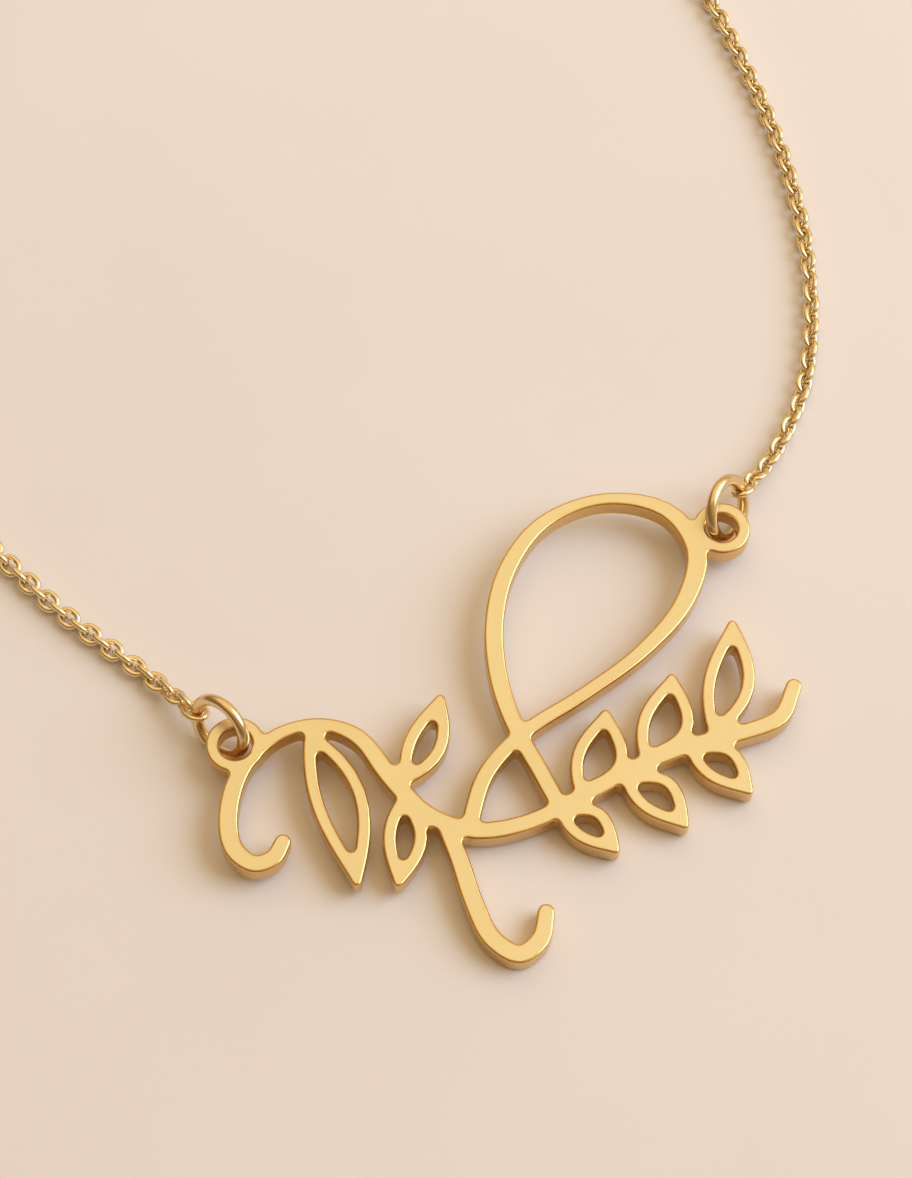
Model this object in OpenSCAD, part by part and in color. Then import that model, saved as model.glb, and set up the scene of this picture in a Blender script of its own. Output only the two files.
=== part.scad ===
// A necklace laid on a level surface. Its plate is a pierced vine flourish cut from flat sheet.
// Two jump rings hang the plate on a cable chain, which a spring ring closes behind the neck.
// X runs along the line through the plate's two eyelets, Y from the plate to the clasp, Z up.

/* [Plate] */
// Width of the flourish on its own drawing
plate_w = 43; // [40:0.5:46]
// Height of the flourish on its own drawing
plate_h = 38; // [36:0.5:41]
// Thickness of the sheet
plate_t = 1.6; // [1.2:0.1:1.9]
// Width of the drawn line
pen_w = 1.3; // [1.15:0.05:1.55]
// Radius of the fillets where lines meet
fillet_r = 0.3; // [0.2:0.05:0.4]
// Radius of leaf tips and other outer corners
corner_r = 0.35; // [0.2:0.05:0.45]
// Bore of each eyelet
eyelet_bore = 2.4; // [2.4:0.1:2.8]
// Metal round each bore
eyelet_rim = 0.95; // [0.8:0.05:1]

/* [Jump rings] */
// Wire of the two jump rings
ring_wire = 0.9; // [0.8:0.05:0.9]
// Inner diameter of the two jump rings
ring_bore = 3.6; // [3.6:0.1:4.2]
// Height left between a ring's wire and the plate that lies on it
seat_gap = 0.12; // [0.1:0.01:0.15]

/* [Chain] */
// Width of a chain link, which the whole chain fills
chain_d = 1.6; // [1.4:0.05:1.8]
// Wire of a chain link
link_wire = 0.44; // [0.36:0.02:0.48]
// Gap between the end of a chain and the wire that its last link holds
chain_gap = 0.15; // [0.1:0.05:0.3]

/* [Clasp] */
// Outer diameter of the spring ring
clasp_d = 6; // [5.5:0.5:7]
// Thickness of the spring ring
clasp_wire = 1.2; // [1:0.1:1.4]
// Bore of the eye on the spring ring
eye_bore = 1.3; // [1.1:0.1:1.6]
// Wire of the eye
eye_wire = 0.6; // [0.5:0.05:0.7]
// Wire of the end ring that the spring ring catches
end_wire = 0.7; // [0.6:0.05:0.8]
// Inner diameter of the end ring
end_bore = 2.8; // [2.7:0.1:3.4]

/* [Hidden] */

// Drawing of the flourish. Columns: share of plate_w from the left edge, share of plate_h from the
// lower edge, and in a line's third column its width as a share of pen_w.
LEFT_EYELET = [0.050, 0.442];
RIGHT_EYELET = [0.882, 0.916];
STEM = [
    [0.134, 0.246, 0.90],
    [0.119, 0.214, 1.00],
    [0.088, 0.202, 1.05],
    [0.053, 0.233, 1.10],
    [0.043, 0.310, 1.10],
    [0.066, 0.400, 1.00],
    [0.120, 0.463, 0.85],
    [0.190, 0.485, 0.80],
    [0.254, 0.460, 1.00],
    [0.308, 0.380, 1.10],
    [0.370, 0.304, 1.10],
    [0.450, 0.272, 1.05],
    [0.540, 0.290, 1.00],
    [0.630, 0.345, 1.00],
    [0.720, 0.404, 1.00],
    [0.810, 0.448, 1.00],
    [0.900, 0.476, 1.00],
    [0.966, 0.510, 1.00],
    [0.992, 0.575, 0.90],
];
LOOP = [
    [0.592, 0.318, 1.00],
    [0.556, 0.400, 1.00],
    [0.520, 0.480, 1.05],
    [0.492, 0.580, 1.10],
    [0.484, 0.700, 1.10],
    [0.507, 0.820, 1.05],
    [0.570, 0.924, 0.90],
    [0.678, 0.978, 0.80],
    [0.786, 0.955, 1.05],
    [0.836, 0.867, 1.25],
    [0.812, 0.755, 1.10],
    [0.735, 0.645, 0.90],
    [0.630, 0.550, 0.85],
    [0.530, 0.470, 0.90],
    [0.468, 0.385, 0.95],
    [0.440, 0.280, 1.00],
];
TENDRIL = [
    [0.400, 0.285, 0.95],
    [0.424, 0.215, 1.05],
    [0.448, 0.130, 1.10],
    [0.478, 0.060, 1.10],
    [0.522, 0.030, 1.10],
    [0.556, 0.060, 1.05],
    [0.566, 0.112, 0.95],
];

// Leaves. Columns: base and tip as shares of plate_w and plate_h, then half width and sideways
// bend as shares of the leaf's own length
LEAVES = [
    [0.165, 0.485, 0.260, 0.145, 0.150, 0.05],
    [0.326, 0.356, 0.396, 0.560, 0.190, -0.05],
    [0.330, 0.350, 0.322, 0.150, 0.210, 0.05],
    [0.618, 0.340, 0.672, 0.528, 0.270, -0.10],
    [0.728, 0.410, 0.786, 0.605, 0.260, -0.10],
    [0.846, 0.460, 0.893, 0.725, 0.185, -0.06],
    [0.580, 0.315, 0.690, 0.225, 0.270, 0.10],
    [0.690, 0.385, 0.805, 0.275, 0.270, 0.10],
    [0.800, 0.445, 0.915, 0.345, 0.270, 0.10],
];
// Wall of a leaf as a share of pen_w
leaf_wall = 0.75;

// Points between two points of a line's table, and steps along one side of a leaf
line_steps = 4;
leaf_steps = 9;
// Steps round a corner or a fillet
corner_steps = 16;
// How far a bore's cut runs past the metal
cut_past = 1;

// Jump rings. Columns: side along X, heading of the ring's plane, lean of that plane from upright
RING_LEFT = [-1, 112, 21];
RING_RIGHT = [1, 36, -27];
// Share of the rim at which a jump ring stands over it, from the bore outwards
ring_seat_share = 0.55;
// Lean of the end ring, and how far past the spring ring's wire its middle stands
end_lean = 12;
end_shift = 0.1;
// Angle below level at which a chain's last link holds its ring
hold_angle = 10;

// Route of the chain on the surface, from each jump ring to the clasp, about the point midway
// between the eyelets
ROUTE_LEFT = [
    [-22.9, 8], [-27, 17], [-31.1, 30], [-36.2, 49], [-40.4, 69], [-42.9, 90], [-42.9, 111],
    [-39.4, 131], [-32.9, 149], [-23.4, 164],
];
ROUTE_RIGHT = [
    [26.5, 4.1], [32.5, 8.9], [38.1, 17.4], [42.5, 29.5], [45.2, 46], [46.4, 66], [46.1, 87],
    [43.1, 109], [37.6, 131], [29.1, 151],
];
// Middle of the spring ring, the heading along which the chain passes through it, and the
// straight stretch of chain on each side of it
CLASP_AT = [4.1, 178];
clasp_turn = -20;
clasp_lead = 5;
// Rings of the chain's skin between two points of its route, and its number of sides
route_steps = 3;
chain_sides = 8;
// Steps round a wire or a bore
round_steps = 64;

// Curve through points, with centripetal spacing so that uneven points make no kinks
function hermite(a, b, ta, tb, t) =
    a * (2*t*t*t - 3*t*t + 1) + ta * (t*t*t - 2*t*t + t) + b * (3*t*t - 2*t*t*t) + tb * (t*t*t - t*t);
function spacing(a, b) = sqrt(norm(b - a));
function tangent(a, b, c, d_ab, d_bc, span) =
    span * ((b - a) / d_ab - (c - a) / (d_ab + d_bc) + (c - b) / d_bc);
function extended(p) = concat([2*p[0] - p[1]], p, [2*p[len(p) - 1] - p[len(p) - 2]]);
function segment_point(q, i, t) =
    let (
        d0 = spacing(q[i], q[i + 1]),
        d1 = spacing(q[i + 1], q[i + 2]),
        d2 = spacing(q[i + 2], q[i + 3])
    )
    hermite(
        q[i + 1], q[i + 2],
        tangent(q[i], q[i + 1], q[i + 2], d0, d1, d1),
        tangent(q[i + 1], q[i + 2], q[i + 3], d1, d2, d1),
        t
    );
function curve(p, steps) =
    let (q = extended(p))
    [
        for (i = [0 : len(p) - 2], k = [0 : steps - 1]) segment_point(q, i, k / steps),
        p[len(p) - 1],
    ];

// A point of the drawing in millimetres, from the drawing's lower left corner
function drawn(p) = [p[0] * plate_w, p[1] * plate_h];
function drawn_line(line) =
    [for (p = line) [p[0] * plate_w, p[1] * plate_h, p[2] * pen_w]];

// Outline of one line of the drawing: both sides, with a round end at each end
function side_at(q, i) =
    let (
        a = q[max(i - 1, 0)],
        b = q[min(i + 1, len(q) - 1)],
        d = [b[0] - a[0], b[1] - a[1]]
    )
    [-d.y, d.x] / norm(d);
function round_end(c, n, r, steps = 8) =
    let (start = atan2(n.y, n.x))
    [for (k = [1 : steps - 1]) [c[0], c[1]] + r * [cos(start - 180*k/steps), sin(start - 180*k/steps)]];
function line_outline(q) =
    let (last = len(q) - 1)
    concat(
        [for (i = [0 : last]) [q[i][0], q[i][1]] + side_at(q, i) * q[i][2]/2],
        round_end(q[last], side_at(q, last), q[last][2]/2),
        [for (i = [last : -1 : 0]) [q[i][0], q[i][1]] - side_at(q, i) * q[i][2]/2],
        round_end(q[0], -side_at(q, 0), q[0][2]/2)
    );

// Every line as a curve. The loop crosses itself, so it is drawn as two halves that overlap.
function slice(q, from, to) = [for (i = [from : to]) q[i]];
loop_curve = curve(drawn_line(LOOP), line_steps);
loop_middle = floor(len(loop_curve) / 2);
CURVES = [
    curve(drawn_line(STEM), line_steps),
    slice(loop_curve, 0, loop_middle + 1),
    slice(loop_curve, loop_middle - 1, len(loop_curve) - 1),
    curve(drawn_line(TENDRIL), line_steps),
];

// Outline of a leaf: a bent spine with a belly nearer its base than its tip
function leaf_outline(leaf) =
    let (
        base = drawn([leaf[0], leaf[1]]),
        tip = drawn([leaf[2], leaf[3]]),
        d = tip - base,
        across = [-d.y, d.x]
    )
    [
        for (side = [1, -1], k = [0 : leaf_steps - 1])
            let (
                s = side > 0 ? k / leaf_steps : 1 - k / leaf_steps,
                bend = leaf[5] * 4 * s * (1 - s),
                belly = leaf[4] * sin(180 * pow(s, 0.9))
            )
            base + d * s + across * (bend + side * belly),
    ];

module leaf_shape(leaf) {
    difference() {
        polygon(leaf_outline(leaf));
        offset(delta = -leaf_wall * pen_w) polygon(leaf_outline(leaf));
    }
}

module eyelet_shape(at) {
    translate(drawn(at)) circle(d = eyelet_bore + 2*eyelet_rim, $fn = round_steps);
}

// The whole drawing, with outer corners rounded and meeting lines filleted
module flourish_shape() {
    offset(r = -fillet_r, $fn = corner_steps) offset(delta = fillet_r)
        offset(r = corner_r, $fn = corner_steps) offset(delta = -corner_r)
            union() {
                for (q = CURVES) polygon(line_outline(q));
                for (leaf = LEAVES) leaf_shape(leaf);
                eyelet_shape(LEFT_EYELET);
                eyelet_shape(RIGHT_EYELET);
            }
}

// Where the plate lies: turned so that its eyelets line up along X, and tipped until its lowest
// line rests on the surface while the eyelets lie on the rings that pass under them
between_eyelets = drawn((LEFT_EYELET + RIGHT_EYELET) / 2);
eyelet_line = drawn(RIGHT_EYELET - LEFT_EYELET);
eyelet_span = norm(eyelet_line);
plate_turn = atan2(eyelet_line.y, eyelet_line.x);
function turned(p) =
    let (d = [p[0], p[1]] - between_eyelets)
    [
        d.x * cos(plate_turn) + d.y * sin(plate_turn),
        d.y * cos(plate_turn) - d.x * sin(plate_turn),
    ];
plate_drop = -min([for (q = CURVES, p = q) turned(p).y - p[2]/2]);

ring_r = (ring_bore + ring_wire) / 2;
ring_seat = eyelet_bore/2 + ring_seat_share * eyelet_rim;
ring_rim_reach = max(ring_seat_share, 1 - ring_seat_share) * eyelet_rim * ring_r / (ring_bore/2);
ring_rise = ring_r - sqrt(ring_r*ring_r - ring_rim_reach*ring_rim_reach);
plate_lift = ring_wire + ring_rise + seat_gap;
plate_tilt = asin(plate_lift / plate_drop);

// A ring standing on the surface. Columns: middle, heading of its plane, lean, radius to the
// middle of its wire, wire
function level(heading) = [cos(heading), sin(heading), 0];
function upward(heading, lean) =
    [sin(heading) * sin(lean), -cos(heading) * sin(lean), cos(lean)];
function ring_middle(ring) =
    let (
        height = ring_r * cos(ring[2]) + ring_wire/2,
        sway = (plate_lift + plate_t/2 - height) * tan(ring[2])
    )
    [ring[0] * eyelet_span/2, 0, height]
        + ring_seat * level(ring[1])
        + sway * level(ring[1] + 90);
function ring_hold(middle, heading, lean, radius) =
    middle + radius * (cos(hold_angle) * level(heading) - sin(hold_angle) * upward(heading, lean));

module torus(radius, wire) {
    rotate_extrude($fn = round_steps) translate([radius, 0]) circle(d = wire, $fn = round_steps);
}

module wire_ring(middle, heading, lean, radius, wire) {
    translate(middle) rotate([0, 0, heading]) rotate([90 + lean, 0, 0]) torus(radius, wire);
}

// The spring ring lies on the end ring's wire on its far side, and its eye lies in the last link of
// the chain that holds it.
clasp_r = (clasp_d - clasp_wire) / 2;
eye_r = (eye_bore + eye_wire) / 2;
eye_reach = clasp_r + clasp_wire/2 + eye_bore/2;
far_height = end_wire + seat_gap + clasp_wire/2;
eye_height = link_wire + seat_gap + eye_wire/2;
clasp_tilt = asin((far_height - eye_height) / (clasp_r + eye_reach + eye_r));
clasp_middle = [CLASP_AT.x, CLASP_AT.y, far_height - clasp_r * sin(clasp_tilt)];
end_r = (end_bore + end_wire) / 2;
end_middle = [clasp_middle.x, clasp_middle.y, end_r * cos(end_lean) + end_wire/2]
    + (clasp_r * cos(clasp_tilt) + end_shift) * level(clasp_turn);

// Route of each chain, from the wire that it holds at one end to the wire at the other
function beyond(middle, at, wire) = at + (at - middle) / norm(at - middle) * (wire/2 + chain_gap);
function chain_start(ring) =
    let (middle = ring_middle(ring))
    beyond(middle, ring_hold(middle, ring[1], ring[2], ring_r), ring_wire);
function on_surface(route) = [for (p = route) [p.x, p.y, chain_d/2]];
function laid(path) = [for (p = path) [p.x, p.y, max(p.z, chain_d/2)]];
eye_end = [clasp_middle.x, clasp_middle.y, chain_d/2]
    - (eye_reach + eye_r + eye_wire/2 + chain_gap) * level(clasp_turn);
end_ring_end = beyond(end_middle, ring_hold(end_middle, clasp_turn, end_lean, end_r), end_wire);
left_path = laid(curve(concat(
    [chain_start(RING_LEFT)],
    on_surface(ROUTE_LEFT),
    on_surface([eye_end - clasp_lead * level(clasp_turn)]),
    [eye_end]
), route_steps));
right_path = laid(curve(concat(
    [chain_start(RING_RIGHT)],
    on_surface(ROUTE_RIGHT),
    on_surface([end_ring_end + clasp_lead * level(clasp_turn)]),
    [end_ring_end]
), route_steps));

// Skin of a chain: a tube swept along its path, with a flat side down
function path_heading(path, i) =
    let (d = path[min(i + 1, len(path) - 1)] - path[max(i - 1, 0)])
    d / norm(d);
function skin_ring(path, i) =
    let (
        along = path_heading(path, i),
        across = cross([0, 0, 1], along) / norm(cross([0, 0, 1], along)),
        up = cross(along, across),
        r = chain_d/2 / cos(180 / chain_sides)
    )
    [
        for (k = [0 : chain_sides - 1])
            let (a = (k + 0.5) * 360 / chain_sides)
            path[i] + r * (cos(a) * across + sin(a) * up),
    ];

module chain_skin(path) {
    rows = len(path);
    points = [for (i = [0 : rows - 1]) each skin_ring(path, i)];
    sides = [
        for (i = [0 : rows - 2], k = [0 : chain_sides - 1])
            let (
                a = i * chain_sides + k,
                b = i * chain_sides + (k + 1) % chain_sides
            )
            each [[a, a + chain_sides, b + chain_sides], [a, b + chain_sides, b]],
    ];
    start = [for (k = [0 : chain_sides - 1]) k];
    end = [for (k = [chain_sides - 1 : -1 : 0]) (rows - 1) * chain_sides + k];
    polyhedron(points, concat([start, end], sides));
}

// The origin lies midway along the whole necklace and midway across it, on the surface
route_x = [for (p = concat(left_path, right_path)) p.x];
route_y = [for (p = concat(left_path, right_path)) p.y];
necklace_top = max(max(route_y) + chain_d/2, CLASP_AT.y + clasp_d/2);
home = [(min(route_x) + max(route_x)) / 2, (necklace_top - plate_drop) / 2, 0];

module nameplate() {
    color("#e3bd6a") translate([0, 0, plate_lift] - home) rotate([plate_tilt, 0, 0])
        rotate([0, 0, -plate_turn]) translate(-between_eyelets)
            difference() {
                linear_extrude(plate_t) flourish_shape();
                for (at = [LEFT_EYELET, RIGHT_EYELET])
                    translate([each drawn(at), -cut_past])
                        cylinder(d = eyelet_bore, h = plate_t + 2*cut_past, $fn = round_steps);
            }
}

module jump_ring(ring) {
    color("#d9b15c") translate(-home)
        wire_ring(ring_middle(ring), ring[1], ring[2], ring_r, ring_wire);
}

module jump_ring_left() {
    jump_ring(RING_LEFT);
}

module jump_ring_right() {
    jump_ring(RING_RIGHT);
}

module chain_left() {
    color("#cfa04a") translate(-home) chain_skin(left_path);
}

module chain_right() {
    color("#cfa04a") translate(-home) chain_skin(right_path);
}

module clasp() {
    color("#d9b15c") translate(clasp_middle - home) rotate([0, 0, clasp_turn])
        rotate([0, -clasp_tilt, 0]) {
            torus(clasp_r, clasp_wire);
            translate([-eye_reach, 0, 0]) torus(eye_r, eye_wire);
        }
}

module end_ring() {
    color("#d9b15c") translate(-home)
        wire_ring(end_middle, clasp_turn, end_lean, end_r, end_wire);
}

nameplate();
jump_ring_left();
jump_ring_right();
chain_left();
chain_right();
clasp();
end_ring();
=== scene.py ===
"""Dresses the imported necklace: a pierced plate, wire rings, interlocked chain links and a clasp."""

import math
from collections import namedtuple

import bpy
import numpy as np
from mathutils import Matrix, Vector
from mathutils.geometry import tessellate_polygon


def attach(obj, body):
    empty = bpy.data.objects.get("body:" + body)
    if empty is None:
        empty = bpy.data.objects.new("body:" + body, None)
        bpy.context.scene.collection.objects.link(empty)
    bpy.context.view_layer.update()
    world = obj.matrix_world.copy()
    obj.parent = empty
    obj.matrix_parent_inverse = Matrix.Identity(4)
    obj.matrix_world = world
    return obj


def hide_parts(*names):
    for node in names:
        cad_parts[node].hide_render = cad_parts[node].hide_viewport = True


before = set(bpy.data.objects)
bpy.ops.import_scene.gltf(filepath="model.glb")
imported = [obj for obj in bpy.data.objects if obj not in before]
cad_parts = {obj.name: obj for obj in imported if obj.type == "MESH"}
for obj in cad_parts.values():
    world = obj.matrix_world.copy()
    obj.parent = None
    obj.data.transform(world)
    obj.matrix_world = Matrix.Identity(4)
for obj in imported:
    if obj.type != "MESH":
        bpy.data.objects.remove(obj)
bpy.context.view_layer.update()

# Lengths are in metres. A direction is an azimuth, clockwise from the way the camera looks, and an
# elevation, both in degrees. Every other angle is in radians.

UP = Vector((0, 0, 1))

# The photograph's camera, which looks at a point given from midway between the plate's eyelets
LENS_MM = 85
SENSOR_MM = 36
CAMERA_HEADING = math.radians(63.3)
CAMERA_FROM = (180, 61)
CAMERA_DISTANCE = 0.209
CAMERA_AIM = (0.00052, 0.0055)
CAMERA_REACH = (0.01, 20)

# The cool key light at the right, and the large warm light that the plate's top reflects
KEY_FROM = (82, 40)
KEY_SPREAD = math.radians(50)
KEY_POWER = 2.0
KEY_COLOUR = (0.62, 0.82, 1.0)
TOP_FROM = (0, 68)
TOP_DISTANCE = 0.9
TOP_SIZE = (1.5, 1.4)
TOP_POWER = 2.9
TOP_COLOUR = (1.0, 0.86, 0.54)

# The surroundings: colours at the horizon and overhead with the heights between which they change,
# and strengths away from the bright side and on it with the reaches between which they change
HORIZON_COLOUR = (1.0, 0.82, 0.67)
OVERHEAD_COLOUR = (1.0, 0.72, 0.33)
COLOUR_HEIGHTS = (0.03, 0.3)
BRIGHT_SIDE = (50, 45)
WORLD_STRENGTHS = (0.22, 0.7)
STRENGTH_REACHES = (-0.3, 0.9)

# Noise is a scale, a detail and a roughness. Nearly all of its values lie in this range.
NOISE_RANGE = (0.3, 0.7)

# Gold: the drift of its tone, the unevenness of its polish, and its grain apart from the scale
DRIFT_NOISE = (140, 3, 0.5)
POLISH_NOISE = (900, 4, 0.6)
GRAIN_NOISE = (6, 0.65)
GRAIN_STRENGTH = 0.35

# Floor: it reaches past every view of the necklace. Its tone is mottled at random, and it grows
# paler towards one side by the drift below over a metre: painted light, a brighter fall of light
# there.
FLOOR_REACH = 30.0
FLOOR_POINTS = 3
FLOOR_DARK = (0.79, 0.71, 0.725)
FLOOR_PALE = (0.92, 0.85, 0.905)
# The side that painted light makes the floor paler towards, and how much paler over a metre
FLOOR_PAINTED_LIGHT_SIDE = (60, 0)
FLOOR_PAINTED_LIGHT_DRIFT = 6.5
FLOOR_ROUGHNESS = 0.85
FLOOR_SPECULAR = 0.15
MOTTLE_NOISE = (30, 5, 0.5)
MOTTLE_TONES = (0.42, 0.58)
TOOTH_NOISE = (2500, 3, 0.5)
TOOTH_STRENGTH = 0.15
TOOTH_DEPTH = 0.00003

# Reading a node: decimals that two points of one place share, and the smallest area that counts
PLACE_DECIMALS = 8
LEAST_AREA = 1e-18
# The plate's top: how far its faces turn up, and how nearly they share one direction
TOP_LEVEL = 0.99
TOP_FLAT = 0.999
# A hole is round if its radius varies by less than this share
ROUND_SHARE = 0.02

# Edges of the plate, the spacing of the points that its outline is drawn with, and the spacing of
# the source's points below which two of them are one
EDGE_RADIUS = 0.0002
EDGE_STEPS = 5
OUTLINE_STEP = 0.00011
OUTLINE_SUBSTEPS = 12
CLOSE_POINTS = 0.00006
# Rounds of fairing, each a pull towards the neighbours and a slightly longer push back
FAIRING_ROUNDS = 16
FAIRING_PULL = 0.5
FAIRING_PUSH = -0.52

# Wire rings: steps round the ring and round its wire, and the seam where the wire's ends meet
RING_STEPS = 144
WIRE_STEPS = 32
SEAM_GAP = 0.00003
SEAM_ROUNDING = 0.00006
SEAM_AT = math.radians(-75)
# How far along each leg of a rounded rim its middle point lies
RIM_MIDDLE = 0.3

# One link of the chain, its play in the next one, and the distance from one link to the next
LINK_LENGTH = 0.00203
LINK_WIDTH = 0.0016
LINK_WIRE = 0.00044
LINK_PLAY = 0.00007
LINK_PITCH = LINK_LENGTH - 2 * LINK_WIRE - LINK_PLAY
# How much of a link's extra length is straight
LINK_STRAIGHT = 0.5
LINK_STEPS = 36
LINK_SIDES = 12
# The link at each end is larger, by this share of how much thicker the wire is that it holds
END_GROWTH = 0.85
END_CLEARANCE = 0.00009
# Each link's own small turn about the chain, and how far from its ends a chain settles
LINK_JITTER = 0.07
SETTLING = 0.012
# How a chain lies between its ends: its links' turn from level and upright
LEFT_ROLL = math.radians(-18)
RIGHT_ROLL = math.radians(-48)
LEFT_SEED = 11
RIGHT_SEED = 12

# Where a chain meets a ring: the angle from level, and the gap of the chain's solid from the wire
HOLD_ANGLE = math.radians(-10)
CHAIN_GAP = 0.00015

# Route of the chain on the surface, from each jump ring to the clasp, about the point midway
# between the eyelets
ROUTE_LEFT = [
    (-0.0229, 0.008), (-0.027, 0.017), (-0.0311, 0.030), (-0.0362, 0.049), (-0.0404, 0.069),
    (-0.0429, 0.090), (-0.0429, 0.111), (-0.0394, 0.131), (-0.0329, 0.149), (-0.0234, 0.164),
]
ROUTE_RIGHT = [
    (0.0265, 0.0041), (0.0325, 0.0089), (0.0381, 0.0174), (0.0425, 0.0295), (0.0452, 0.046),
    (0.0464, 0.066), (0.0461, 0.087), (0.0431, 0.109), (0.0376, 0.131), (0.0291, 0.151),
]
CLASP_LEAD = 0.005
ROUTE_STEPS = 40
# Length to each side that a bend is drawn out over, and the number of places whose mean it takes
BEND_REACH = 0.0015
BEND_SAMPLES = 9

# Spring ring: its eye, and the stretch that its gate closes
EYE_BORE = 0.0013
EYE_WIRE = 0.0006
EYE_LEAN = math.radians(22)
EYE_STEPS = 72
GATE_FROM = math.radians(38)
GATE_TO = math.radians(92)
GATE_TUCK = math.radians(4)
GATE_SHARE = 0.62
GATE_STEPS = 36
# Collars beside the gate, and the rounding of every rim of the clasp
COLLAR_TUCK = math.radians(2)
COLLAR_LENGTH = 0.0003
COLLAR_SHARE = 1.06
COLLAR_STEPS = 6
CLASP_ROUNDING = 0.00008
# Trigger that draws the gate back: a ball on a stem, which starts inside the tube
TRIGGER_AT = math.radians(128)
TRIGGER_START = 0.35
TRIGGER_RADIUS = 0.00035
STEM_LENGTH = 0.0003
STEM_SHARE = 0.6
BALL_ANGLES = np.radians(range(45, 181, 15))


# Small helpers

def unit(v):
    return v / np.linalg.norm(v)


def circle_angles(steps, first=0):
    """Angles of equal steps round a circle, the first one given as a share of a step."""
    return (np.arange(steps) + first) * 2 * math.pi / steps


def from_aim(aim, direction, distance):
    """The point at a distance from the aim in a direction."""
    azimuth, elevation = direction
    heading = CAMERA_HEADING - math.radians(azimuth)
    rise = math.radians(elevation)
    level = math.cos(rise)
    way = Vector((math.cos(heading) * level, math.sin(heading) * level, math.sin(rise)))
    return aim + way * distance


def mesh_object(name, points, faces, material, normals=None):
    mesh = bpy.data.meshes.new(name)
    mesh.from_pydata([tuple(p) for p in points], [], [tuple(int(i) for i in f) for f in faces])
    mesh.validate()
    mesh.update()
    mesh.shade_smooth()
    if normals is not None:
        mesh.normals_split_custom_set_from_vertices([tuple(n) for n in normals])
    mesh.materials.append(material)
    piece = bpy.data.objects.new(name, mesh)
    bpy.context.scene.collection.objects.link(piece)
    return piece


def stand_for(piece, node):
    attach(piece, "root")
    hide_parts(node)


def node_points(node):
    co = np.array([v.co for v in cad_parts[node].data.vertices], float)
    return np.unique(co.round(PLACE_DECIMALS), axis=0)


def curve_points(points, steps, closed=False):
    """Centripetal curve through points: a table with this many steps between each two of them."""
    p = np.array(points, float)
    if closed:
        q = np.vstack([p[-1], p, p[0], p[1]])
    else:
        q = np.vstack([2 * p[0] - p[1], p, 2 * p[-1] - p[-2]])
    chord = np.diff(q, axis=0)
    spacing = np.sqrt(np.linalg.norm(chord, axis=1))[:, None]
    d0, d1, d2 = spacing[:-2], spacing[1:-1], spacing[2:]
    leave = d1 * (chord[:-2] / d0 - (q[2:-1] - q[:-3]) / (d0 + d1) + chord[1:-1] / d1)
    reach = d1 * (chord[1:-1] / d1 - (q[3:] - q[1:-2]) / (d1 + d2) + chord[2:] / d2)
    t = (np.arange(steps) / steps)[:, None]
    rows = [
        q[i + 1] * (2 * t**3 - 3 * t**2 + 1) + leave[i] * (t**3 - 2 * t**2 + t)
        + q[i + 2] * (3 * t**2 - 2 * t**3) + reach[i] * (t**3 - t**2)
        for i in range(len(leave))
    ]
    return np.vstack(rows if closed else rows + [p[-1:]])


def grid_faces(rows, columns, close_rows=False, close_columns=True):
    """Four-sided faces over a table of points that is stored row by row."""
    faces = []
    for i in range(rows if close_rows else rows - 1):
        j = (i + 1) % rows
        for k in range(columns if close_columns else columns - 1):
            m = (k + 1) % columns
            faces.append((i * columns + k, i * columns + m, j * columns + m, j * columns + k))
    return faces


# Shading

def new_material(name):
    material = bpy.data.materials.new(name)
    material.use_nodes = True
    tree = material.node_tree
    return material, tree, tree.nodes["Principled BSDF"]


def noise_value(tree, scale, detail, roughness):
    coordinates = tree.nodes.new("ShaderNodeTexCoord")
    noise = tree.nodes.new("ShaderNodeTexNoise")
    noise.inputs["Scale"].default_value = scale
    noise.inputs["Detail"].default_value = detail
    noise.inputs["Roughness"].default_value = roughness
    tree.links.new(coordinates.outputs["Object"], noise.inputs["Vector"])
    return noise.outputs["Fac"]


def colour_ramp(tree, value, between, low, high):
    """Colour that changes from low to high as the value passes between two positions."""
    ramp = tree.nodes.new("ShaderNodeValToRGB")
    for element, position, colour in zip(ramp.color_ramp.elements, between, (low, high)):
        element.position = position
        element.color = (*colour, 1)
    tree.links.new(value, ramp.inputs["Fac"])
    return ramp.outputs["Color"]


def mapped_value(tree, value, given, wanted, interpolation="LINEAR"):
    """The value with one range of it spread over another."""
    spread = tree.nodes.new("ShaderNodeMapRange")
    spread.interpolation_type = interpolation
    spread.inputs["From Min"].default_value, spread.inputs["From Max"].default_value = given
    spread.inputs["To Min"].default_value, spread.inputs["To Max"].default_value = wanted
    tree.links.new(value, spread.inputs["Value"])
    return spread.outputs["Result"]


def reach_value(tree, space, way):
    """How far along a direction a point lies, or a ray points."""
    coordinates = tree.nodes.new("ShaderNodeTexCoord")
    along = tree.nodes.new("ShaderNodeVectorMath")
    along.operation = "DOT_PRODUCT"
    along.inputs[1].default_value = way
    tree.links.new(coordinates.outputs[space], along.inputs[0])
    return along.outputs["Value"]


def add_bump(tree, shader, height, strength, depth):
    bump = tree.nodes.new("ShaderNodeBump")
    bump.inputs["Strength"].default_value = strength
    bump.inputs["Distance"].default_value = depth
    tree.links.new(height, bump.inputs["Height"])
    tree.links.new(bump.outputs["Normal"], shader.inputs["Normal"])


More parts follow.
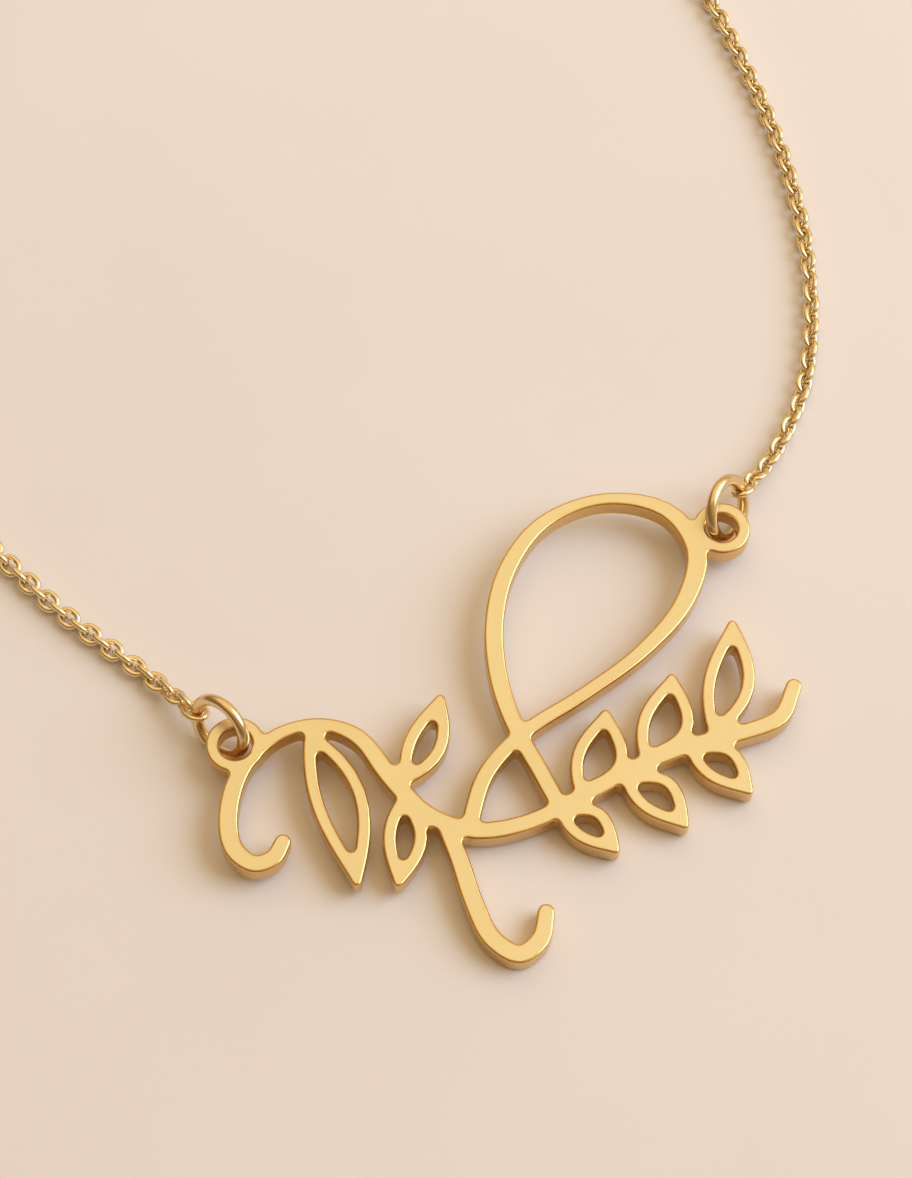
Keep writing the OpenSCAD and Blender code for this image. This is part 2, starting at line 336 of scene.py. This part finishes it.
def gold(name, pale, deep, polish, grain_scale, grain_depth):
    """Plated gold: drifting tone, uneven polish and a fine grain."""
    material, tree, shader = new_material(name)
    tone = colour_ramp(tree, noise_value(tree, *DRIFT_NOISE), NOISE_RANGE, deep, pale)
    roughness = mapped_value(tree, noise_value(tree, *POLISH_NOISE), NOISE_RANGE, polish)
    grain = noise_value(tree, grain_scale, *GRAIN_NOISE)
    shader.inputs["Metallic"].default_value = 1
    tree.links.new(tone, shader.inputs["Base Color"])
    tree.links.new(roughness, shader.inputs["Roughness"])
    add_bump(tree, shader, grain, GRAIN_STRENGTH, grain_depth)
    return material


def floor_material():
    material, tree, shader = new_material("pale_floor")
    shader.inputs["Roughness"].default_value = FLOOR_ROUGHNESS
    shader.inputs["Specular IOR Level"].default_value = FLOOR_SPECULAR
    mottle = mapped_value(tree, noise_value(tree, *MOTTLE_NOISE), NOISE_RANGE, MOTTLE_TONES)
    # Painted light: the floor grows paler towards one side, on top of its random mottle
    painted_light_drift = reach_value(tree, "Object", from_aim(Vector(), FLOOR_PAINTED_LIGHT_SIDE, FLOOR_PAINTED_LIGHT_DRIFT))
    tone = tree.nodes.new("ShaderNodeMath")
    tone.operation = "ADD"
    tree.links.new(mottle, tone.inputs[0])
    tree.links.new(painted_light_drift, tone.inputs[1])
    colour = colour_ramp(tree, tone.outputs["Value"], (0, 1), FLOOR_DARK, FLOOR_PALE)
    tree.links.new(colour, shader.inputs["Base Color"])
    add_bump(tree, shader, noise_value(tree, *TOOTH_NOISE), TOOTH_STRENGTH, TOOTH_DEPTH)
    return material


# The plate's one gold in two copies: a paler one on its faces, and a darker, browner one on its walls
# and rounded edges, which paints the shade that falls there
SATIN_GOLD = gold(
    "satin_gold", pale=(0.805, 0.72, 0.51), deep=(0.775, 0.672, 0.46), polish=(0.27, 0.34),
    grain_scale=9000, grain_depth=0.000004,
)
SHADED_EDGE_GOLD = gold(
    "edge_gold_painted_shade", pale=(0.80, 0.54, 0.23), deep=(0.73, 0.47, 0.18), polish=(0.2, 0.28),
    grain_scale=12000, grain_depth=0.000003,
)
WIRE_GOLD = gold(
    "wire_gold", pale=(0.88, 0.67, 0.37), deep=(0.78, 0.56, 0.29), polish=(0.18, 0.26),
    grain_scale=12000, grain_depth=0.000003,
)
LINK_GOLD = gold(
    "link_gold", pale=(0.93, 0.77, 0.49), deep=(0.84, 0.66, 0.38), polish=(0.16, 0.24),
    grain_scale=12000, grain_depth=0.000003,
)


# Plate

def top_outline(node):
    """Loops round the plate's upper face, metal on the left, its direction and the thickness."""
    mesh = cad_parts[node].data
    co = np.array([v.co for v in mesh.vertices], float)
    points, welded = np.unique(co.round(PLACE_DECIMALS), axis=0, return_inverse=True)
    welded = welded.ravel()
    triangles = np.array([[welded[i] for i in face.vertices] for face in mesh.polygons])
    corner = points[triangles]
    area = np.cross(corner[:, 1] - corner[:, 0], corner[:, 2] - corner[:, 0])
    size = np.linalg.norm(area, axis=1)
    normals = area / np.maximum(size, LEAST_AREA)[:, None]
    normal = unit(area[normals[:, 2] > TOP_LEVEL].sum(0))
    top = triangles[normals @ normal > TOP_FLAT]
    edges = {(a, b) for t in top for a, b in ((t[0], t[1]), (t[1], t[2]), (t[2], t[0]))}
    follows = {a: b for a, b in edges if (b, a) not in edges}
    loops = []
    while follows:
        start, here = follows.popitem()
        loop = [start]
        while here != start:
            loop.append(here)
            here = follows.pop(here)
        loops.append(points[loop])
    heights = points @ normal
    return loops, normal, heights.max() - heights.min()


def merged(loop):
    """The loop with each run of close points as one point, midway between them."""
    gaps = np.linalg.norm(loop - np.roll(loop, 1, axis=0), axis=1)
    loop = np.roll(loop, -int(np.argmax(gaps)), axis=0)
    runs = [[loop[0]]]
    for p in loop[1:]:
        if np.linalg.norm(p - runs[-1][0]) > CLOSE_POINTS:
            runs.append([])
        runs[-1].append(p)
    return np.array([np.mean(run, axis=0) for run in runs])


def evenly_spaced(loop, step):
    closed = np.vstack([loop, loop[:1]])
    lengths = np.linalg.norm(np.diff(closed, axis=0), axis=1)
    reach = np.concatenate([[0], np.cumsum(lengths)])
    at = np.linspace(0, reach[-1], round(reach[-1] / step) + 1)[:-1]
    return np.stack([np.interp(at, reach, closed[:, k]) for k in range(2)], axis=1)


def faired(loop):
    """The loop as a smooth curve of evenly spaced points."""
    curve = curve_points(merged(loop), OUTLINE_SUBSTEPS, closed=True)
    loop = evenly_spaced(curve, OUTLINE_STEP)
    for _ in range(FAIRING_ROUNDS):
        for weight in (FAIRING_PULL, FAIRING_PUSH):
            between = (np.roll(loop, 1, axis=0) + np.roll(loop, -1, axis=0)) / 2
            loop = loop + weight * (between - loop)
    return loop


def outward(loop):
    """Level direction away from the metal at each point of a loop."""
    along = np.roll(loop, -1, axis=0) - np.roll(loop, 1, axis=0)
    across = np.stack([along[:, 1], -along[:, 0]], axis=1)
    return across / np.linalg.norm(across, axis=1)[:, None]


class Plate:
    """The plate's outline in its own plane, and the way from that plane to the frame."""

    def __init__(self, node):
        loops, self.normal, self.thickness = top_outline(node)
        self.along = unit(np.array([self.normal[2], 0, -self.normal[0]]))
        self.across = np.cross(self.normal, self.along)
        self.base = np.vstack(loops).mean(0) - self.thickness * self.normal
        self.loops = [
            np.stack([(loop - self.base) @ self.along, (loop - self.base) @ self.across], axis=1)
            for loop in loops
        ]

    def place(self, flat, height):
        """Points of the drawing at a height over the plate's lower face, in the frame."""
        return (
            self.base + flat[:, :1] * self.along + flat[:, 1:] * self.across
            + np.reshape(height, (-1, 1)) * self.normal
        )

    def turn(self, flat, rise):
        """Directions of the drawing with a share of the plate's normal, in the frame."""
        return (
            flat[:, :1] * self.along + flat[:, 1:] * self.across
            + np.reshape(rise, (-1, 1)) * self.normal
        )

    def bores(self):
        """Middles of the round holes, on the lower face, from left to right."""
        found = []
        for loop in self.loops:
            middle = (loop.min(0) + loop.max(0)) / 2
            reach = np.linalg.norm(loop - middle, axis=1)
            if reach.max() - reach.min() < ROUND_SHARE * reach.max():
                found.append(self.place(middle[None], 0)[0])
        return sorted(found, key=lambda p: p[0])


def edge_profile(thickness):
    """Inset, height and slope of each ring of points round an edge, from the lower face up."""
    rounds = [math.radians(90 * k / EDGE_STEPS) for k in range(EDGE_STEPS + 1)]
    lower = [(-a, EDGE_RADIUS * (1 - math.sin(a))) for a in reversed(rounds)]
    upper = [(a, thickness - EDGE_RADIUS * (1 - math.sin(a))) for a in rounds]
    return [(EDGE_RADIUS * (1 - math.cos(a)), height, a) for a, height in lower + upper]


def plate_piece(plate):
    """Walls and rounded edges along every loop, then the two faces, each covered in triangles."""
    profile = edge_profile(plate.thickness)
    points, normals, faces = [], [], []
    caps = ([], [])
    total = 0
    for loop in map(faired, plate.loops):
        away = outward(loop)
        for inset, height, slope in profile:
            points.append(plate.place(loop - away * inset, height))
            rise = np.full(len(loop), math.sin(slope))
            normals.append(plate.turn(away * math.cos(slope), rise))
        faces += [[total + i for i in f] for f in grid_faces(len(profile), len(loop))]
        for cap, ring in zip(caps, (0, len(profile) - 1)):
            cap.append((total + ring * len(loop), loop - away * profile[ring][0]))
        total += len(loop) * len(profile)
    edge_faces = len(faces)
    for cap, side in zip(caps, (-1, 1)):
        index = [first + k for first, loop in cap for k in range(len(loop))]
        flat = np.vstack([loop for _, loop in cap])
        for a, b, c in tessellate_polygon([[Vector((*p, 0)) for p in loop] for _, loop in cap]):
            turn = np.cross(flat[b] - flat[a], flat[c] - flat[a])
            ordered = (a, b, c) if turn * side > 0 else (a, c, b)
            faces.append([index[i] for i in ordered])
    # The walls and rounded edges take the darker gold, which is painted shade; the two faces take the
    # paler gold
    piece = mesh_object(
        "nameplate_plate", np.vstack(points), faces, SHADED_EDGE_GOLD, np.vstack(normals)
    )
    piece.data.materials.append(SATIN_GOLD)
    for face in piece.data.polygons[edge_faces:]:
        face.material_index = 1
    stand_for(piece, "nameplate")


# Wire rings

# Where a chain's last link holds a wire: the middle of the wire there, the way out from the ring,
# the wire's width, and the direction that the link's width lies along
Hold = namedtuple("Hold", "place way wire wide")


def measured(points, axes):
    """Lowest and highest reach of points along each axis."""
    reach = points @ np.array(axes).T
    return reach.min(0), reach.max(0)


class Ring:
    """A ring of wire: its middle, its radius to the middle of the wire, and its directions."""

    def __init__(self, middle, radius, wire, axes):
        self.middle, self.radius, self.wire = middle, radius, wire
        self.level, self.up, self.normal = axes

    def direction(self, angle):
        return math.cos(angle) * self.level + math.sin(angle) * self.up

    def hold(self):
        out = self.direction(HOLD_ANGLE)
        return Hold(self.middle + self.radius * out, out, self.wire, self.normal)


def wire_ring(node, toward):
    """A node's ring, measured in the frame, its level direction on the side of a point."""
    points = node_points(node)
    normal = np.linalg.svd(points - points.mean(0), full_matrices=False)[2][2]
    level = unit(np.cross(normal, UP))
    if (toward - points.mean(0)) @ level < 0:
        level = -level
    up = np.cross(normal, level)
    if up[2] < 0:
        up, normal = -up, -normal
    axes = np.stack([level, up, normal])
    low, high = measured(points, axes)
    wire = high[2] - low[2]
    return Ring((low + high) / 2 @ axes, (high[0] - low[0] - wire) / 2, wire, axes)


def swept_arc(ring, start, stop, wire, steps, rounding):
    """Tube along an arc of a ring, closed at both ends by faces with rounded rims."""
    lead = rounding / ring.radius
    rim = [
        (0, 0), (0, wire / 2 - rounding),
        (RIM_MIDDLE * lead, wire / 2 - RIM_MIDDLE * rounding), (lead, wire / 2),
    ]
    body = [(a, wire / 2) for a in np.linspace(start + lead, stop - lead, steps + 1)[1:-1]]
    stations = [(start + a, r) for a, r in rim] + body + [(stop - a, r) for a, r in reversed(rim)]
    turns = circle_angles(WIRE_STEPS)[:, None]
    rows = []
    for angle, radius in stations:
        out = ring.direction(angle)
        middle = ring.middle + ring.radius * out
        rows.append(middle + radius * (np.cos(turns) * out + np.sin(turns) * ring.normal))
    return np.vstack(rows), grid_faces(len(rows), WIRE_STEPS)


def wire_ring_piece(name, ring, node):
    half_gap = SEAM_GAP / 2 / ring.radius
    first, last = SEAM_AT + half_gap, SEAM_AT + 2 * math.pi - half_gap
    points, faces = swept_arc(ring, first, last, ring.wire, RING_STEPS, SEAM_ROUNDING)
    stand_for(mesh_object(name, points, faces, WIRE_GOLD), node)


# Chain

def link_template(length, width):
    """Points of one link in its own plane, its two halves drawn apart along the chain."""
    turns = circle_angles(LINK_STEPS, 0.5)
    sides = circle_angles(LINK_SIDES)
    apart = (length - width) / 2 * LINK_STRAIGHT
    half_length, half_width = (length - LINK_WIRE) / 2 - apart, (width - LINK_WIRE) / 2
    middle = np.stack(
        [half_length * np.cos(turns), half_width * np.sin(turns), 0 * turns], axis=1
    )
    middle[:, 0] += np.sign(middle[:, 0]) * apart
    out = np.stack([half_width * np.cos(turns), half_length * np.sin(turns), 0 * turns], axis=1)
    out /= np.linalg.norm(out, axis=1)[:, None]
    ring = middle[:, None] + LINK_WIRE / 2 * np.cos(sides)[None, :, None] * out[:, None]
    ring[:, :, 2] += LINK_WIRE / 2 * np.sin(sides)[None, :]
    return ring.reshape(-1, 3)


def smooth_step(t):
    t = min(max(t, 0), 1)
    return t * t * (3 - 2 * t)


def axes_along(direction):
    """A chain's direction, its level side and its top."""
    side = unit(np.cross(UP, direction))
    return direction, side, np.cross(direction, side)


def roll_about(direction, wide):
    """Turn of a link about the chain, from lying level, that puts its width along wide."""
    _, side, top = axes_along(direction)
    roll = math.atan2(wide @ top, wide @ side)
    return (roll + math.pi / 2) % math.pi - math.pi / 2


class Chain:
    """Links threaded through each other from one held wire to another, each a quarter turned."""

    def __init__(self, start, route, finish, middle_roll):
        self.start, self.finish, self.middle_roll = start, finish, middle_roll
        first = start.place + start.way * (start.wire / 2 + CHAIN_GAP)
        last = finish.place + finish.way * (finish.wire / 2 + CHAIN_GAP)
        lead = last + unit(finish.way * (1, 1, 0)) * CLASP_LEAD
        lead[2] = LINK_WIDTH / 2
        path = np.vstack([start.place, first, route, lead, last, finish.place])
        self.follow(curve_points(path, ROUTE_STEPS))
        self.follow(np.array([self.near(distance) for distance in self.reach]))
        self.place_links()

    def follow(self, points):
        """Takes points as the chain's path, at least half a link's width above the surface."""
        points[:, 2] = np.maximum(points[:, 2], LINK_WIDTH / 2)
        lengths = np.linalg.norm(np.diff(points, axis=0), axis=1)
        self.points = points
        self.reach = np.concatenate([[0], np.cumsum(lengths)])

    def at(self, distance):
        return np.array([np.interp(distance, self.reach, self.points[:, k]) for k in range(3)])

    def near(self, distance):
        """Mean of the path to both sides of a distance along the chain."""
        reach = min(BEND_REACH, distance, self.reach[-1] - distance)
        shares = np.linspace(-1, 1, BEND_SAMPLES)
        return np.mean([self.at(distance + share * reach) for share in shares], axis=0)

    def place_links(self):
        """Turns of the end links, and distances along the chain for a number that suits both."""
        ends = (self.start, self.finish)
        growths = [END_GROWTH * (end.wire - LINK_WIRE) for end in ends]
        self.end_templates = [
            link_template(LINK_LENGTH + more, LINK_WIDTH + more) for more in growths
        ]
        self.offsets = [
            (LINK_LENGTH + more - end.wire) / 2 - LINK_WIRE - END_CLEARANCE
            for more, end in zip(growths, ends)
        ]
        self.start_roll = roll_about(self.start.way, self.start.wide)
        self.end_roll = roll_about(-self.finish.way, self.finish.wide)
        upright = abs(self.end_roll) > math.pi / 4
        if upright:
            self.end_roll -= math.copysign(math.pi / 2, self.end_roll)
        first, last = self.offsets[0], self.reach[-1] - self.offsets[1]
        second = first + LINK_PITCH + growths[0] / 2
        last_but_one = last - LINK_PITCH - growths[1] / 2
        count = round((last_but_one - second) / LINK_PITCH) + 3
        if (count - 1) % 2 != upright:
            count += 1
        self.places = [first, *np.linspace(second, last_but_one, count - 2), last]

    def lie_at(self, distance):
        """Turn of the links at a distance along the chain, and how far it has settled there."""
        rise = smooth_step(distance / SETTLING)
        fall = smooth_step((self.reach[-1] - distance) / SETTLING)
        roll = (
            self.middle_roll + (self.start_roll - self.middle_roll) * (1 - rise)
            + (self.end_roll - self.middle_roll) * (1 - fall)
        )
        return roll, min(rise, fall)

    def stations(self):
        """Place, middle and direction of each link. The end links pull straight on the wires."""
        half = LINK_PITCH / 2
        middles = [self.at(place) for place in self.places]
        ways = [unit(self.at(place + half) - self.at(place - half)) for place in self.places]
        ways[0] = unit(middles[1] - self.start.place)
        middles[0] = self.start.place + self.offsets[0] * ways[0]
        ways[-1] = unit(self.finish.place - middles[-2])
        middles[-1] = self.finish.place - self.offsets[1] * ways[-1]
        return zip(self.places, middles, ways)

    def piece(self, name, node, seed):
        """Every link. One that lies at a slant is less high, so its middle lies lower."""
        draw = np.random.default_rng(seed)
        plain = link_template(LINK_LENGTH, LINK_WIDTH)
        faces_of_link = np.array(grid_faces(LINK_STEPS, LINK_SIDES, close_rows=True))
        half_width = (LINK_WIDTH - LINK_WIRE) / 2
        points, faces = [], []
        for k, (place, middle, way) in enumerate(self.stations()):
            roll, settled = self.lie_at(place)
            along, side, top = axes_along(way)
            reach_up = max(abs(math.cos(roll)), abs(math.sin(roll)))
            middle[2] -= settled * half_width * (1 - reach_up)
            own = roll + k % 2 * math.pi / 2
            template = plain
            if k in (0, len(self.places) - 1):
                template = self.end_templates[k > 0]
            else:
                own += draw.uniform(-LINK_JITTER, LINK_JITTER)
            wide = math.cos(own) * side + math.sin(own) * top
            link = middle + template @ np.stack([along, wide, np.cross(along, wide)])
            link[:, 2] -= min(link[:, 2].min(), 0)
            points.append(link)
            faces.append(faces_of_link + k * len(template))
        piece = mesh_object(name, np.vstack(points), np.vstack(faces), LINK_GOLD)
        stand_for(piece, node)


# Clasp

def spring_ring(node):
    """The spring ring and the eye fused to it, measured in the frame, each as a ring."""
    points = node_points(node)
    level, across, normal = np.linalg.svd(points - points.mean(0), full_matrices=False)[2]
    normal = normal if normal[2] > 0 else -normal
    low, high = measured(points, [level, across, normal])
    wire = high[2] - low[2]
    reach = points @ level
    tips = [points[reach > high[0] - wire / 2], points[reach < low[0] + wire / 2]]
    widths = [np.ptp(tip @ across) for tip in tips]
    level = level if widths[0] > widths[1] else -level
    axes = np.stack([level, np.cross(normal, level), normal])
    low, high = measured(points, axes)
    half_width = (high[1] - low[1]) / 2
    flat = (low + high) / 2
    middle = np.array([high[0] - half_width, flat[1], flat[2]]) @ axes
    eye_middle = np.array([low[0] + EYE_BORE / 2 + EYE_WIRE, flat[1], flat[2]]) @ axes
    return (
        Ring(middle, half_width - wire / 2, wire, axes),
        Ring(eye_middle, (EYE_BORE + EYE_WIRE) / 2, EYE_WIRE, axes),
    )


def eye_hold(eye):
    """Where a chain's last link holds the clasp's eye, opposite the spring ring, and leans."""
    lean = math.cos(EYE_LEAN) * eye.normal + math.sin(EYE_LEAN) * eye.up
    return Hold(eye.middle - eye.radius * eye.level, -eye.level, eye.wire, lean)


def lathe(profile, middle, axis, across):
    """Surface turned about an axis: the profile gives distances along it and radii."""
    other = np.cross(axis, across)
    turns = circle_angles(WIRE_STEPS)[:, None]
    rows = [
        middle + axis * along + radius * (np.cos(turns) * across + np.sin(turns) * other)
        for along, radius in profile
    ]
    return np.vstack(rows), grid_faces(len(rows), WIRE_STEPS)


def trigger(ring):
    out = ring.direction(TRIGGER_AT)
    start = ring.middle + (ring.radius + ring.wire * TRIGGER_START) * out
    stem_radius = TRIGGER_RADIUS * STEM_SHARE
    stem = [(0, 0), (0, stem_radius), (STEM_LENGTH, stem_radius)]
    ball = [
        (STEM_LENGTH + TRIGGER_RADIUS * (1 - math.cos(a)), TRIGGER_RADIUS * math.sin(a))
        for a in BALL_ANGLES
    ]
    return lathe(stem + ball, start, out, ring.normal)


def clasp_piece(ring, eye):
    """Tube, gate, the collars at both ends of the gate, trigger and eye, joined as one piece."""
    arcs = [
        (ring, GATE_TO, GATE_FROM + 2 * math.pi, ring.wire, RING_STEPS),
        (ring, GATE_FROM - GATE_TUCK, GATE_TO + GATE_TUCK, ring.wire * GATE_SHARE, GATE_STEPS),
    ]
    collar = COLLAR_TUCK + COLLAR_LENGTH / ring.radius
    for edge, way in ((GATE_FROM, -1), (GATE_TO, 1)):
        near, far = sorted((edge + way * COLLAR_TUCK, edge + way * collar))
        arcs.append((ring, near, far, ring.wire * COLLAR_SHARE, COLLAR_STEPS))
    parts = [swept_arc(*arc, CLASP_ROUNDING) for arc in arcs]
    parts.append(trigger(ring))
    parts.append(swept_arc(eye, 0, 2 * math.pi, eye.wire, EYE_STEPS, CLASP_ROUNDING))
    points, faces, total = [], [], 0
    for table, its_faces in parts:
        points.append(table)
        faces += [[total + i for i in f] for f in its_faces]
        total += len(table)
    piece = mesh_object("clasp_spring_ring", np.vstack(points), faces, WIRE_GOLD)
    stand_for(piece, "clasp")


# Stage, lights and camera

def floor_piece():
    across = np.linspace(-FLOOR_REACH, FLOOR_REACH, FLOOR_POINTS)
    points = [(x, y, 0) for y in across for x in across]
    faces = grid_faces(FLOOR_POINTS, FLOOR_POINTS, close_columns=False)
    mesh_object("floor", points, faces, floor_material())


def look_at_aim(name, data, aim, direction, distance):
    """A light or a camera, in a direction from the aim and turned to it."""
    thing = bpy.data.objects.new(name, data)
    bpy.context.scene.collection.objects.link(thing)
    thing.location = place = from_aim(aim, direction, distance)
    thing.rotation_euler = (aim - place).to_track_quat("-Z", "Y").to_euler()
    return thing


def key_light(aim):
    data = bpy.data.lights.new("key_light", "SUN")
    data.angle = KEY_SPREAD
    data.energy = KEY_POWER
    data.color = KEY_COLOUR
    look_at_aim("key_light", data, aim, KEY_FROM, 1)


def top_light(aim):
    data = bpy.data.lights.new("top_light", "AREA")
    data.shape = "RECTANGLE"
    data.size, data.size_y = TOP_SIZE
    data.energy = TOP_POWER
    data.color = TOP_COLOUR
    look_at_aim("top_light", data, aim, TOP_FROM, TOP_DISTANCE)


def studio_world():
    """Warm surroundings, palest along the horizon and brightest on one side."""
    world = bpy.data.worlds.new("studio")
    world.use_nodes = True
    tree = world.node_tree
    background = tree.nodes["Background"]
    height = reach_value(tree, "Generated", UP)
    colour = colour_ramp(tree, height, COLOUR_HEIGHTS, HORIZON_COLOUR, OVERHEAD_COLOUR)
    tree.links.new(colour, background.inputs["Color"])
    toward = reach_value(tree, "Generated", from_aim(Vector(), BRIGHT_SIDE, 1))
    strength = mapped_value(tree, toward, STRENGTH_REACHES, WORLD_STRENGTHS, "SMOOTHSTEP")
    tree.links.new(strength, background.inputs["Strength"])
    bpy.context.scene.world = world


def photo_camera(aim):
    data = bpy.data.cameras.new("camera")
    data.lens = LENS_MM
    data.sensor_fit = "VERTICAL"
    data.sensor_height = SENSOR_MM
    data.clip_start, data.clip_end = CAMERA_REACH
    camera = look_at_aim("camera", data, aim, CAMERA_FROM, CAMERA_DISTANCE)
    bpy.context.scene.camera = camera


# The necklace, set out from the middle of the line between its plate's bores

plate = Plate("nameplate")
bore_left, bore_right = plate.bores()
origin = ((bore_left + bore_right) / 2) * (1, 1, 0)


def on_surface(route):
    return np.array([(x + origin[0], y + origin[1], LINK_WIDTH / 2) for x, y in route])


left_route, right_route = on_surface(ROUTE_LEFT), on_surface(ROUTE_RIGHT)
left_ring = wire_ring("jump_ring_left", left_route[1])
right_ring = wire_ring("jump_ring_right", right_route[1])
end_ring = wire_ring("end_ring", right_route[-1])
clasp_ring, clasp_eye = spring_ring("clasp")
left_chain = Chain(left_ring.hold(), left_route, eye_hold(clasp_eye), LEFT_ROLL)
right_chain = Chain(right_ring.hold(), right_route, end_ring.hold(), RIGHT_ROLL)

plate_piece(plate)
wire_ring_piece("jump_ring_left_wire", left_ring, "jump_ring_left")
wire_ring_piece("jump_ring_right_wire", right_ring, "jump_ring_right")
wire_ring_piece("end_ring_wire", end_ring, "end_ring")
clasp_piece(clasp_ring, clasp_eye)
left_chain.piece("chain_left_links", "chain_left", LEFT_SEED)
right_chain.piece("chain_right_links", "chain_right", RIGHT_SEED)

floor_piece()
aim_point = Vector((origin[0] + CAMERA_AIM[0], origin[1] + CAMERA_AIM[1], 0))
key_light(aim_point)
top_light(aim_point)
studio_world()
photo_camera(aim_point)
bpy.context.scene.view_settings.view_transform = "Standard"
